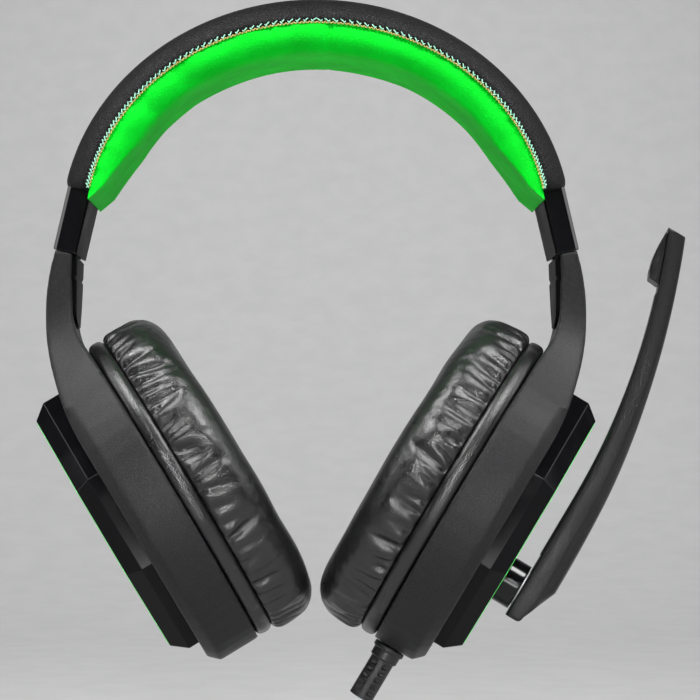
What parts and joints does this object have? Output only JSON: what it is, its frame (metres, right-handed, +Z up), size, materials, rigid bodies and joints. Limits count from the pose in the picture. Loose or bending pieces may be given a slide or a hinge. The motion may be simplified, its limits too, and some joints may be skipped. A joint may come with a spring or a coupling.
{
  "type": "gaming headset",
  "caption": "Closed-back headset with a padded headband, sliding arms, tilted oval ear cups with soft pads and a swing-down microphone boom.",
  "frame": {"origin": "underside of the headband pad at its crown, midway front to back, where it rests on the head", "axes": "+Z up, -Y the way the wearer faces, +X towards the wearer's left, the microphone side"},
  "size_m": [0.1975, 0.0909, 0.2123],
  "materials": {
    "cover_leather": "fine-grained black leatherette",
    "pad_leather": "soft wrinkled black leatherette",
    "green_leather": "bright green leatherette",
    "grey_plastic": "fine matt texture",
    "boom_plastic": "fine matt texture",
    "gloss_plastic": "polished black",
    "black_plastic": "matt moulded",
    "plate_plastic": "semi-gloss",
    "light_plastic": "translucent light guide",
    "board": "solder resist",
    "led": "clear package",
    "spring_steel": "brushed",
    "screw_steel": "zinc plated",
    "magnet_steel": "plated",
    "cone_film": "thin film",
    "cloth": "knitted mesh",
    "relief_rubber": "matt",
    "wire_jacket": "matt",
    "washer_nylon": "natural nylon",
    "capsule_metal": "satin"
  },
  "bodies": {
    "headband": {"headband_spring": "spring_steel", "headband_top_cover": "cover_leather", "headband_cushion": "green_leather", "cross_cable": "wire_jacket", "end_cap_outer_left": "gloss_plastic", "end_cap_outer_right": "gloss_plastic", "end_cap_inner_left": "gloss_plastic", "end_cap_inner_right": "gloss_plastic", "end_cap_screws": "screw_steel", "detent_springs": "spring_steel"},
    "arm_left": {"slider_bar_left": "spring_steel", "yoke_left": "grey_plastic", "arm_inner_cover_left": "black_plastic", "arm_screws_left": "screw_steel", "outer_cap_left": "gloss_plastic", "side_plate_left": "plate_plastic", "light_ring_left": "light_plastic", "led_board_left": "board", "leds_left": "led", "baffle_left": "black_plastic", "baffle_screws_left": "screw_steel", "driver_frame_left": "black_plastic", "driver_magnet_left": "magnet_steel", "driver_cone_left": "cone_film", "pad_frame_left": "black_plastic", "acoustic_cloth_left": "cloth", "ear_pad_skirt_left": "pad_leather", "ear_pad_left": "pad_leather", "audio_board": "board", "cable_clamp": "black_plastic", "strain_relief": "relief_rubber", "mic_base": "gloss_plastic"},
    "arm_right": {"slider_bar_right": "spring_steel", "yoke_right": "grey_plastic", "arm_inner_cover_right": "black_plastic", "arm_screws_right": "screw_steel", "outer_cap_right": "gloss_plastic", "side_plate_right": "plate_plastic", "light_ring_right": "light_plastic", "led_board_right": "board", "leds_right": "led", "baffle_right": "black_plastic", "baffle_screws_right": "screw_steel", "driver_frame_right": "black_plastic", "driver_magnet_right": "magnet_steel", "driver_cone_right": "cone_film", "pad_frame_right": "black_plastic", "acoustic_cloth_right": "cloth", "ear_pad_skirt_right": "pad_leather", "ear_pad_right": "pad_leather"},
    "mic_boom": {"mic_boom_shell": "boom_plastic", "mic_boom_cover": "black_plastic", "mic_pivot_shaft": "screw_steel", "mic_friction_washer": "washer_nylon", "mic_pivot_screw": "screw_steel", "mic_grille_cap": "black_plastic", "mic_capsule": "capsule_metal"}
  },
  "joints": [
    {"name": "slider_left", "type": "slide", "parent": "headband", "child": "arm_left", "axis": [0.225, 0, -0.9744], "range_m": [0, 0.025]},
    {"name": "slider_right", "type": "slide", "parent": "headband", "child": "arm_right", "axis": [-0.225, 0, -0.9744], "range_m": [0, 0.025]},
    {"name": "mic_swing", "type": "hinge", "parent": "arm_left", "child": "mic_boom", "pos_m": [0.05799, -0.00157, -0.15742], "axis": [0.8539, -0.0872, -0.5131], "range_deg": [0, 120]}
  ]
}
